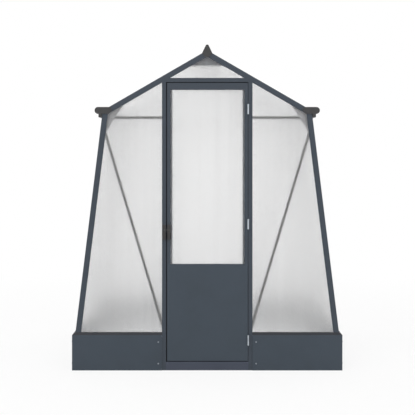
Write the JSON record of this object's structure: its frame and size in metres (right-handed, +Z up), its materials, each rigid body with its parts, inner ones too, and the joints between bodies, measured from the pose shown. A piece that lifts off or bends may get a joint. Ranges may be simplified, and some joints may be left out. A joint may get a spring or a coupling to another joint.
{
  "type": "greenhouse",
  "caption": "Small free-standing greenhouse with leaning sides, a pitched roof, opal twin-wall panes in dark bars on a solid plinth, a hinged front door with a lever latch and a roof vent.",
  "frame": {"origin": "on the ground under the middle of the plinth", "axes": "+Z up, the front with the door faces -Y, +X to the right as seen from the front"},
  "size_m": [1.938, 1.9525, 2.3262],
  "materials": {
    "coated_bar": "satin",
    "coated_sheet": "matte",
    "dark_rail": "satin",
    "plate_metal": "satin",
    "dark_steel": "satin",
    "steel": "satin",
    "moulded_plastic": "matte",
    "opal_sheet": "satin"
  },
  "bodies": {
    "frame": {"apex_gussets": "plate_metal", "base_bolts": "steel", "base_brackets": "coated_bar", "base_front_left": "coated_sheet", "base_front_right": "coated_sheet", "base_left": "coated_sheet", "base_rear": "coated_sheet", "base_right": "coated_sheet", "braces": "coated_bar", "corner_post_front_left": "coated_bar", "corner_post_front_right": "coated_bar", "corner_post_rear_left": "coated_bar", "corner_post_rear_right": "coated_bar", "door_header": "coated_bar", "door_jamb_left": "coated_bar", "door_jamb_right": "coated_bar", "door_stops": "coated_bar", "door_threshold": "coated_bar", "eaves_gussets": "plate_metal", "frame_bolts": "steel", "gable_rafter_front_left": "coated_bar", "gable_rafter_front_right": "coated_bar", "gable_rafter_rear_left": "coated_bar", "gable_rafter_rear_right": "coated_bar", "gutter_end_caps": "moulded_plastic", "gutter_left": "coated_bar", "gutter_right": "coated_bar", "hinge_jamb_leaves": "steel", "hinge_pins": "steel", "latch_keeper": "moulded_plastic", "latch_strike": "dark_steel", "pane_front_left": "opal_sheet", "pane_front_right": "opal_sheet", "pane_front_top": "opal_sheet", "panes_rear": "opal_sheet", "panes_roof": "opal_sheet", "panes_side": "opal_sheet", "rear_studs": "coated_bar", "ridge_beam": "coated_bar", "ridge_end_caps": "moulded_plastic", "roof_bars": "coated_bar", "side_studs": "coated_bar", "sill_rails_gable": "dark_rail", "sill_rails_side": "dark_rail", "tie_bars": "coated_bar", "vent_cross_bar": "coated_bar"},
    "door": {"door_stile_hinge": "coated_bar", "door_stile_lock": "coated_bar", "door_rail_top": "coated_bar", "door_rail_middle": "coated_bar", "door_rail_bottom": "coated_bar", "door_pane": "opal_sheet", "door_lower_panel": "coated_sheet", "hinge_door_leaves": "steel", "latch_case": "moulded_plastic"},
    "lever": {"latch_lever": "moulded_plastic"},
    "bolt": {"latch_bolt": "dark_steel"},
    "vent": {"vent_frame": "coated_bar", "vent_pane": "opal_sheet"},
    "stay": {"vent_stay": "coated_bar"}
  },
  "joints": [
    {"name": "door_swing", "type": "hinge", "parent": "frame", "child": "door", "pos_m": [0.2925, -0.9679, 1], "axis": [0, 0, 1], "range_deg": [0, 110]},
    {"name": "latch_turn", "type": "hinge", "parent": "door", "child": "lever", "pos_m": [-0.272, -0.975, 0.978], "axis": [0, -1, 0], "range_deg": [0, 90]},
    {"name": "bolt_slide", "type": "slide", "parent": "door", "child": "bolt", "axis": [-1, 0, 0], "range_m": [0, 0.014]},
    {"name": "vent_lift", "type": "hinge", "parent": "frame", "child": "vent", "pos_m": [0.03914, 0, 2.27379], "axis": [0, -1, 0], "range_deg": [0, 40]},
    {"name": "stay_turn", "type": "hinge", "parent": "vent", "child": "stay", "pos_m": [0.34994, 0, 2.07011], "axis": [0, -1, 0], "range_deg": [-20, 0]}
  ],
  "couplings": [
    {"joint": "bolt_slide", "follows": "latch_turn", "m_per_rad": 0.0089127},
    {"joint": "stay_turn", "follows": "vent_lift", "ratio": -0.5}
  ]
}
